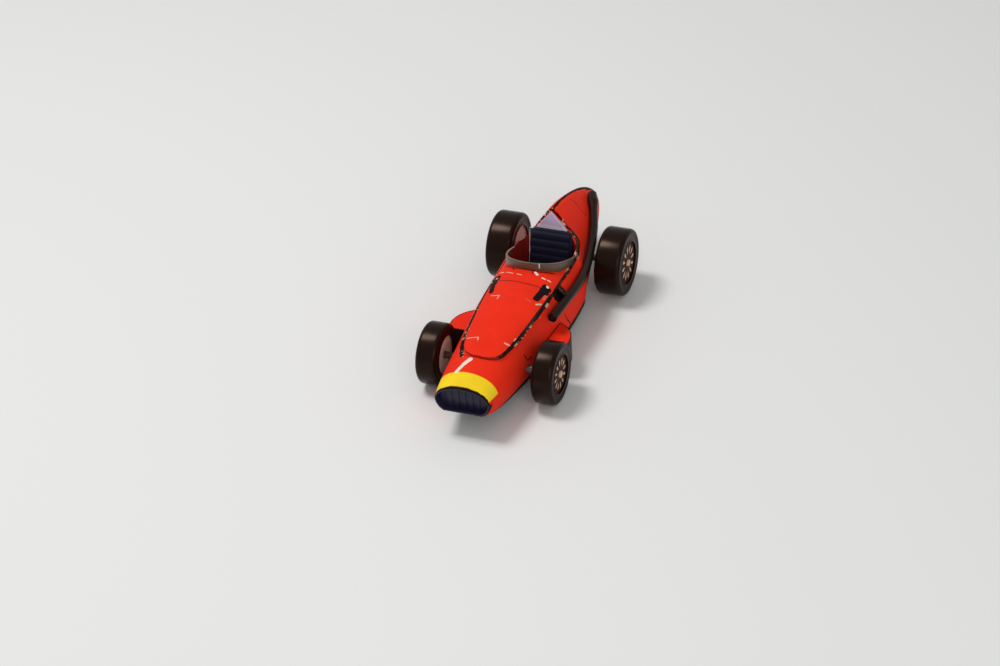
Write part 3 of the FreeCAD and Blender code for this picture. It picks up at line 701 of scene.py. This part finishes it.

# %% [markdown]
# ## The body
# One smooth shell from the nose to the tail. Its copy keeps the exact shape and gets softened
# edges. The walls of the cockpit well get a darker red that is painted shade, and the mouth's
# recess is navy, so they are picked by their place and by the way they face.
# %% The body
body_skin = softened("body_shell", "body_skin", 0.07 * MM)
dress(body_skin, "body", ["body_shell"], "red_card",
      RED_FRONT, WELL_PAINTED_SHADE, UNDERSIDE, MOUTH_NAVY, RED_REAR)
REAR_PAINT_FROM = 1.0 * MM
WELL_MIDDLE, WELL_HALF_WIDTH = 5 * MM, 5.7 * MM
WELL_FROM_HEIGHT, WELL_FLOOR_UNDER = 3.5 * MM, 5 * MM
WELL_FRONT_MARGIN, WELL_REAR_MARGIN = 0.2 * MM, 0.15 * MM
TURNED_IN, FACING_MIDDLE = 0.2, 2 * MM


def in_well(face):
    """True for the walls and the floor of the cockpit's well."""
    spot = face.center
    along = SCREEN_LOW.y - WELL_FRONT_MARGIN < spot.y < PAD_HIGH.y - WELL_REAR_MARGIN
    within = along and abs(spot.x) < WELL_HALF_WIDTH and spot.z > WELL_FROM_HEIGHT
    side_wall = face.normal.x * spot.x < -TURNED_IN * abs(spot.x)
    end_wall = face.normal.y * (spot.y - WELL_MIDDLE) < -FACING_MIDDLE
    well_floor = face.normal.z > 0.9 and spot.z < WELL_FLOOR_UNDER
    return within and (side_wall or end_wall or well_floor)


def in_mouth(face):
    """True for the recess in front of the grille: its floor and its inward walls."""
    spot = face.center - middle("nose_grille")
    inward = face.normal.x * spot.x + face.normal.z * spot.z < 0 and abs(face.normal.y) < 0.5
    return face.center.y < GRILLE_HIGH.y and (face.normal.y < -0.7 or inward)


# The faces of the well get the painted shade.
well_faces = 0
for face in body_skin.data.polygons:
    if in_well(face):
        face.material_index = 1
        well_faces += 1
    elif in_mouth(face):
        face.material_index = 3
    elif face.normal.z < -0.6:
        face.material_index = 2
    elif face.center.y > REAR_PAINT_FROM:
        face.material_index = 4
print("faces of the well:", well_faces)

# %% [markdown]
# ## The bonnet panel
# A thin raised skin with an inked outline. Its cut edges are black.
# %% The bonnet panel
bonnet_skin = softened("bonnet_panel", "bonnet_skin", 0.05 * MM)
dress(bonnet_skin, "body", ["bonnet_panel"], "red_card", BONNET_PAINT, DARK_EDGE, FRONT_LINE)
cut_edge = [face for face in bonnet_skin.data.polygons if abs(face.normal.z) < 0.35]
for face in cut_edge:
    face.material_index = 2 if face.normal.y < -0.6 else 1
print("faces of the panel's cut edge:", len(cut_edge))

# %% [markdown]
# ## The screen
# A low band of smoky plastic, bent round the front and the flanks of the cockpit. Its cut top edge
# shows paler than its faces, so the faces that look up get a finish of their own.
# %% The screen
screen_skin = softened("windscreen", "screen_skin", 0.05 * MM)
dress(screen_skin, "body", ["windscreen"], "screen_grey", SCREEN_PAINT, SCREEN_EDGE)
top_edge = [face for face in screen_skin.data.polygons if face.normal.z > 0.6]
for face in top_edge:
    face.material_index = 1
print("faces of the screen's top edge:", len(top_edge))

# %% [markdown]
# ## The grille
# A dark plate closes the nose, with upright slats. The slats follow the plate's own outline: a copy
# of the plate is cut by upright planes, and every second strip of its face is pulled forward.
# %% The grille
grille_skin = softened("nose_grille", "grille_skin", 0.02 * MM)
SLAT_PITCH, SLAT_DEPTH, SAME_FACE = 0.62 * MM, 0.14 * MM, 0.02 * MM
slats = int((GRILLE_HIGH.x - GRILLE_LOW.x) / SLAT_PITCH)
for step in range(1, slats + 1):
    edit(grille_skin, "FACE")
    bpy.ops.mesh.select_all(action="SELECT")
    bpy.ops.mesh.bisect(plane_co=(GRILLE_LOW.x + step * SLAT_PITCH, 0, 0), plane_no=(1, 0, 0))


def is_slat(face):
    """True for every second strip of the plate's front face."""
    spot = face.calc_center_median()
    strip = int((spot.x - GRILLE_LOW.x) / SLAT_PITCH)
    return face.normal.y < -0.9 and abs(spot.y - GRILLE_LOW.y) < SAME_FACE and strip % 2 == 1


slat_faces = pick(grille_skin, "FACE", is_slat)
bpy.ops.mesh.extrude_region_move(TRANSFORM_OT_translate={"value": (0, -SLAT_DEPTH, 0)})
deselect_all()
smooth(grille_skin, 30)
dress(grille_skin, "body", ["nose_grille"], "grille_navy", MOUTH_NAVY)
print("slat faces:", slat_faces)

# %% [markdown]
# ## The seat and its padding
# The seat's solid is a plain step. On the toy the padding is moulded hard, in rolls that run across
# the back and the cushion. Each rolled face starts as a grid: the rows at the seams are drawn in,
# Subdivision Surface swells the rows between, and the face is laid on the seat's own flat.
# %% The seat
seat_skin = softened("seat", "seat_skin", 0.25 * MM, steps=3)
dress(seat_skin, "body", ["seat"], "seat_navy", SEAT_PAINT)
ROLLS, ROWS, COLUMNS = 5, 4, 12
PROUD, SEAM, PAD_THICKNESS = 0.30 * MM, 0.16 * MM, 0.2 * MM
SIDE_MARGIN, END_MARGIN = 0.5 * MM, 0.3 * MM
FRONT_OF_STEP, ROW_GRID = 1 * MM, 0.01 * MM


def flat_of_seat(axis, way):
    """The seat's largest flat that faces one way along an axis, past the front of the step."""
    faces = [face for face in seat_skin.data.polygons if face.normal[axis] * way > 0.9]
    past = SEAT_LOW.y + FRONT_OF_STEP
    return max(faces, key=lambda face: face.area if face.center.y > past else 0)


def corners(face):
    return [seat_skin.data.vertices[index].co for index in face.vertices]


def rolled_face(name, length, centre, tilt):
    """Padding in rolls: made flat at the origin, swelled, then tilted and put in its place."""
    deselect_all()
    bpy.ops.mesh.primitive_grid_add(x_subdivisions=COLUMNS, y_subdivisions=ROLLS * ROWS, size=1)
    padding = bpy.context.object
    padding.name = name
    padding.scale = (SEAT_HIGH.x * 2 - 2 * SIDE_MARGIN, length - 2 * END_MARGIN, 1)
    settle(padding)
    rows = sorted({round(v.co.y / ROW_GRID) for v in padding.data.vertices})
    seams = set(rows[::ROWS])
    pick(padding, "VERT", lambda v: round(v.co.y / ROW_GRID) in seams)
    bpy.ops.transform.translate(value=(0, 0, -SEAM))
    deselect_all()
    apply_modifier(padding, "SUBSURF", "swell", levels=2, render_levels=2)
    apply_modifier(padding, "SOLIDIFY", "thickness", thickness=PAD_THICKNESS, offset=0)
    padding.rotation_euler = (tilt, 0, 0)
    padding.location = centre
    settle(padding)
    smooth(padding, 60)
    dress(padding, "body", None, "seat_navy", SEAT_PAINT)


print("corners of the seat's back:", len(corners(flat_of_seat(1, -1))))

# %% [markdown]
# ## Where the rolls lie
# The back's flat leans, so its lowest and highest corners give its length, its middle and its lean.
# The cushion's flat is level.
# %% Where the rolls lie
back_corners = corners(flat_of_seat(1, -1))
back_foot = min(back_corners, key=lambda p: p.z).copy()
back_head = max(back_corners, key=lambda p: p.z).copy()
lean = math.atan2(back_head.y - back_foot.y, back_head.z - back_foot.z)
back_length = (back_head - back_foot).yz.length
back_middle = Vector((0, (back_foot.y + back_head.y) / 2 - PROUD, (back_foot.z + back_head.z) / 2))
rolled_face("seat_padding", back_length, back_middle, math.pi / 2 - lean)
cushion_flat = flat_of_seat(2, 1)
cushion_ends = [point.y for point in corners(cushion_flat)]
front, rear = min(cushion_ends), max(cushion_ends)
cushion_middle = Vector((0, (front + rear) / 2, cushion_flat.center.z + PROUD))
rolled_face("cushion_padding", rear - front, cushion_middle, 0)
print("length of the cushion, mm:", round((rear - front) / MM, 2))
print("lean of the back, degrees:", round(math.degrees(lean), 1))

# %% [markdown]
# ## The headrest's pad, the underside and the lobes
# The lavender pad gets a rounder edge than the rest. The lobes behind the front wheels are red on
# top, and their upright edges are dark.
# %% The headrest's pad, the underside and the lobes
pad_skin = softened("headrest_pad", "pad_skin", 0.10 * MM, steps=3)
dress(pad_skin, "body", ["headrest_pad"], "pad_lavender", PAD_PAINT)
pan_skin = softened("underpan", "pan_skin", 0.08 * MM)
dress(pan_skin, "body", ["underpan"], "underside_black", UNDERSIDE)
LOBE_BORDER, NEAR_TOP, SMALLEST_TOP = 0.16 * MM, 0.1 * MM, 4 * MM * MM


def is_top(face, height):
    return face.normal.z > 0.9 and face.calc_center_median().z > height - NEAR_TOP


for side in ("left", "right"):
    lobe = softened("flare_" + side, "lobe_" + side, 0.14 * MM, steps=3)
    lobe_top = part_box("flare_" + side)[1].z
    pick(lobe, "FACE", lambda face: is_top(face, lobe_top))
    bpy.ops.mesh.inset(thickness=LOBE_BORDER)
    deselect_all()
    smooth(lobe, 25)
    dress(lobe, "body", ["flare_" + side], "red_card", LOBE_PAINT, DARK_EDGE)
    dark = [face for face in lobe.data.polygons if face.normal.z < 0.75 or face.area < SMALLEST_TOP]
    for face in dark:
        face.material_index = 1
    print("dark faces of the lobe:", len(dark))

# %% [markdown]
# ## The exhaust
# A glossy black pipe hugs the left flank. Its front end is rounded like a drop of paint: the flat
# end is pulled back, then extruded and shrunk in steps that follow a quarter circle.
# %% The exhaust
pipe_skin = softened("exhaust_pipe", "pipe_skin", 0.08 * MM)
ends = [face for face in pipe_skin.data.polygons if len(face.vertices) > 12]
tip = min(ends, key=lambda face: face.center.y)
tip_centre, tip_way = tip.center.copy(), tip.normal.copy()
tip_radius = max((pipe_skin.data.vertices[index].co - tip_centre).length for index in tip.vertices)
DOME_STEPS, DOME_DEGREES, DOME_HEIGHT, DOME_SETBACK = 5, 72, 0.62, 0.55
AT_TIP = 0.05 * MM


def at_tip(face):
    return (face.calc_center_median() - tip_centre).length < AT_TIP


tip_faces = pick(pipe_skin, "FACE", at_tip)
bpy.ops.transform.translate(value=-tip_way * tip_radius * DOME_SETBACK)
for step in range(1, DOME_STEPS + 1):
    before = math.radians(DOME_DEGREES * (step - 1) / DOME_STEPS)
    after = math.radians(DOME_DEGREES * step / DOME_STEPS)
    rise = (math.sin(after) - math.sin(before)) * tip_radius * DOME_HEIGHT
    bpy.ops.mesh.extrude_region_move(TRANSFORM_OT_translate={"value": tip_way * rise})
    shrink = math.cos(after) / math.cos(before)
    centre = tip_centre + tip_way * tip_radius * (math.sin(after) * DOME_HEIGHT - DOME_SETBACK)
    bpy.ops.transform.resize(value=(shrink, shrink, shrink), center_override=centre)
deselect_all()
smooth(pipe_skin, 50)
dress(pipe_skin, "body", ["exhaust_pipe"], "pipe_black", PIPE_BLACK)
stub_skin = softened("exhaust_stub", "stub_skin", 0.06 * MM)
dress(stub_skin, "body", ["exhaust_stub"], "pipe_black", PIPE_BLACK)
for axle in ("front", "rear"):
    rod = softened(axle + "_axle", axle + "_axle_wire", 0.06 * MM)
    dress(rod, "body", [axle + "_axle"], "axle_wire", WIRE)
print("tip faces:", tip_faces, "tip radius, mm:", round(tip_radius / MM, 2))

# %% [markdown]
# ## The tyres
# Each tyre is turned anew: a cylinder with many more facets than the solid. Its ends are inset to
# the rim and joined through the middle, the walls are dished, and the shoulders are rounded.
# %% The tyres
TYRE_FACETS = 96
WALL_STEP, WALL_DISH = 0.35 * MM, 0.12 * MM
SHOULDER, SHOULDER_SHARE, SHOULDER_STEPS = 0.75 * MM, 0.95, 7
RIM_GAP, ON_TREAD, RING_WIDTH = 0.02 * MM, 0.999, 0.1


def from_axis(point, hub):
    return math.hypot(point.y - hub.y, point.z - hub.z)


def is_shoulder(edge, hub, radius, width):
    """True for an edge of the ring where the tread meets a wall, and not for one across the tread."""
    start, stop = edge.verts
    outermost = min(from_axis(start.co, hub), from_axis(stop.co, hub)) > radius * ON_TREAD
    return outermost and abs(start.co.x - stop.co.x) < RING_WIDTH * width


def turn_tyre(wheel):
    """One tyre, turned round its hub and set on its wheel; gives the number of its faces."""
    low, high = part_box("tyre_" + wheel)
    rim_low, rim_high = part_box("wheel_" + wheel)
    hub = HUB[wheel]
    radius, width = (high.z - low.z) / 2, high.x - low.x
    rim = (rim_high.z - rim_low.z) / 2 + RIM_GAP
    deselect_all()
    bpy.ops.mesh.primitive_cylinder_add(vertices=TYRE_FACETS, radius=radius, depth=width,
                                        end_fill_type="NGON", location=hub,
                                        rotation=(0, math.pi / 2, 0))
    tyre = bpy.context.object
    tyre.name = "tyre_skin_" + wheel
    settle(tyre)
    pick(tyre, "FACE", lambda face: abs(face.normal.x) > 0.9)
    wall = radius - SHOULDER - rim
    for step in (SHOULDER, WALL_STEP, wall - 2 * WALL_STEP, WALL_STEP):
        bpy.ops.mesh.inset(thickness=step, use_individual=True)
    bpy.ops.mesh.delete(type="FACE")
    pick(tyre, "EDGE", lambda edge: edge.is_boundary)
    bpy.ops.mesh.bridge_edge_loops()
    dish_low, dish_high = rim + WALL_STEP * 0.5, radius - SHOULDER - WALL_STEP * 0.5
    pick(tyre, "VERT", lambda v: dish_low < from_axis(v.co, hub) < dish_high)
    bpy.ops.transform.resize(value=((width - 2 * WALL_DISH) / width, 1, 1), center_override=hub)
    pick(tyre, "EDGE", lambda edge: is_shoulder(edge, hub, radius, width))
    bpy.ops.mesh.bevel(offset=SHOULDER * SHOULDER_SHARE, segments=SHOULDER_STEPS, profile=0.5,
                       affect="EDGES")
    edit(tyre)
    bpy.ops.mesh.select_all(action="SELECT")
    bpy.ops.mesh.normals_make_consistent(inside=False)
    deselect_all()
    smooth(tyre, 40)
    dress(tyre, "wheel_" + wheel + "_body", ["tyre_" + wheel], "tyre_black", TYRE_BLACK, SIDEWALL)
    for face in tyre.data.polygons:
        if abs(face.normal.x) > 0.8:
            face.material_index = 1
    return len(tyre.data.polygons)


for wheel in WHEELS:
    print("tyre", wheel, "faces:", turn_tyre(wheel))

# %% [markdown]
# ## The wheel faces
# On the toy the petals are pale shapes in a dark disc. The plate's copy has them as gaps, so the
# walls of the gaps are deleted, and each hole is closed with a face of its own. The petals on the
# outer side are then inset, lifted a hair and made pale.
# %% The wheel faces
PETAL_BORDER, PETAL_RISE, SAME_PLACE = 0.045 * MM, 0.03 * MM, 0.005 * MM
GAPS_FROM, GAPS_TO = 0.3, 0.92


def close_one_hole(piece):
    """Finds one ring of open edges, closes it with a face, and returns the face's middle."""
    mesh = edit(piece, "EDGE")
    waiting = [edge for edge in mesh.edges if edge.is_boundary][:1]
    while waiting:
        edge = waiting.pop()
        edge.select_set(True)
        beside = [other for vert in edge.verts for other in vert.link_edges]
        waiting += [other for other in beside if other.is_boundary and not other.select]
    ring = [vert.co.copy() for vert in mesh.verts if vert.select]
    bmesh.update_edit_mesh(piece.data)
    if not ring:
        return None
    bpy.ops.mesh.edge_face_add()
    faces = [face for face in bmesh.from_edit_mesh(piece.data).faces if face.select]
    return faces[0].calc_center_median().copy()


def is_gap_wall(face, hub, outer):
    """True for a wall of one of the petal-shaped gaps, between the plate's hub and its rim."""
    away = from_axis(face.calc_center_median(), hub)
    return abs(face.normal.x) < 0.3 and outer * GAPS_FROM < away < outer * GAPS_TO


print("border of a petal, mm:", round(PETAL_BORDER / MM, 3))

# %% [markdown]
# ## The petals
# The holes are closed one by one until none is left, on both sides of the plate. Only the faces on
# the outer side become petals.
# %% The petals
def petal_face(wheel):
    """The dark plate with its pale petals; gives how many holes it had and how many are petals."""
    hub, way = HUB[wheel], outward(wheel)
    low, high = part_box("spokes_" + wheel)
    outer = (high.z - low.z) / 2
    plate = softened("spokes_" + wheel, "petals_" + wheel, 0.0)
    pick(plate, "FACE", lambda face: is_gap_wall(face, hub, outer))
    bpy.ops.mesh.delete(type="ONLY_FACE")
    bpy.ops.mesh.select_all(action="SELECT")
    bpy.ops.mesh.delete_loose()
    middles = []
    found = close_one_hole(plate)
    while found is not None:
        middles.append(found)
        found = close_one_hole(plate)
    shown = [spot for spot in middles if spot.x * way > (low.x + high.x) / 2 * way]
    plate.data.materials.append(WHEEL_DARK)
    plate.data.materials.append(PETAL_PALE)
    pick(plate, "FACE", lambda face: any((face.calc_center_median() - spot).length < SAME_PLACE
                                         for spot in shown))
    bpy.ops.mesh.inset(thickness=PETAL_BORDER, depth=PETAL_RISE, use_individual=True)
    plate.active_material_index = 1
    bpy.ops.object.material_slot_assign()
    bpy.ops.mesh.select_all(action="SELECT")
    bpy.ops.mesh.normals_make_consistent(inside=False)
    deselect_all()
    dress(plate, "wheel_" + wheel + "_body", ["spokes_" + wheel], "wheel_dark")
    return len(middles), len(shown)


print("wheels to face:", len(WHEELS))

# %% [markdown]
# ## The wheels
# Behind each face plate is a pale core, with the hub standing proud in its middle. The core's inner
# side, which faces the car, is a greyer disc.
# %% The wheels
for wheel in WHEELS:
    spin = "wheel_" + wheel + "_body"
    core = softened("wheel_" + wheel, "core_" + wheel, 0.06 * MM)
    dress(core, spin, ["wheel_" + wheel], "wheel_pale", PETAL_PALE, INNER_PALE)
    for face in core.data.polygons:
        if face.center.x * outward(wheel) < HUB[wheel].x * outward(wheel):
            face.material_index = 1
    print("petals:", wheel, petal_face(wheel))

# %% [markdown]
# ## Floor and light
# The car stands on a plain pale floor. One soft lamp above gives the broad light on the tyres, and a
# larger, weaker one from the front keeps the near side from going dark.
# %% Floor and light
FLOOR_COLOUR, FLOOR_SIZE, WORLD_STRENGTH = (0.80, 0.80, 0.79), 3.0, 0.42
bpy.ops.mesh.primitive_plane_add(size=FLOOR_SIZE, location=(0, 0, 0))
floor = bpy.context.object
floor.name = "floor"
floor.data.materials.append(new_material("floor_pale", FLOOR_COLOUR, 0.6)[0])

world = bpy.data.worlds.new("studio")
bpy.context.scene.world = world
world.use_nodes = True
world.node_tree.nodes["Background"].inputs["Color"].default_value = (1, 1, 1, 1)
world.node_tree.nodes["Background"].inputs["Strength"].default_value = WORLD_STRENGTH


def area_light(name, place, aim, size, power):
    """A round soft lamp that faces its aim."""
    data = bpy.data.lights.new(name, "AREA")
    data.shape = "DISK"
    data.size = size
    data.energy = power
    lamp = bpy.data.objects.new(name, data)
    bpy.context.scene.collection.objects.link(lamp)
    lamp.location = place
    lamp.rotation_euler = (Vector(aim) - Vector(place)).to_track_quat("-Z", "Y").to_euler()
    print(name, "lamp, watts:", power)


area_light("key", place=(-0.20, -0.02, 0.48), aim=(0, 0, 0), size=0.18, power=1.35)
area_light("fill", place=(0.30, -0.42, 0.26), aim=(0, 0, 0), size=0.35, power=0.75)

# %% [markdown]
# ## The camera
# A long lens looks down on the car's left front corner. Its place is worked out from an azimuth, an
# elevation and a distance to a target on the car, and the view is then rolled a little.
# %% The camera
AZIMUTH, ELEVATION, ROLL = math.radians(22.128), math.radians(33.518), math.radians(-3.243)
DISTANCE, LENS, SENSOR_WIDTH = 0.478386, 100, 36
target = Vector((-1.945, -11.010, 5.629)) * MM
back = Vector((math.sin(AZIMUTH) * math.cos(ELEVATION), -math.cos(AZIMUTH) * math.cos(ELEVATION),
               math.sin(ELEVATION)))
level = Vector((math.cos(AZIMUTH), math.sin(AZIMUTH), 0))
up = back.cross(level)
right = level * math.cos(ROLL) + up * math.sin(ROLL)
top = up * math.cos(ROLL) - level * math.sin(ROLL)
view = bpy.data.cameras.new("view")
view.lens = LENS
view.sensor_width = SENSOR_WIDTH
camera = bpy.data.objects.new("view", view)
bpy.context.scene.collection.objects.link(camera)
camera.matrix_world = Matrix.Translation(target + back * DISTANCE) @ Matrix((
    (right.x, top.x, back.x, 0), (right.y, top.y, back.y, 0), (right.z, top.z, back.z, 0), (0, 0, 0, 1)))
bpy.context.scene.camera = camera
bpy.context.scene.view_settings.view_transform = "Standard"
print("camera to target, mm:", round(DISTANCE / MM, 1))
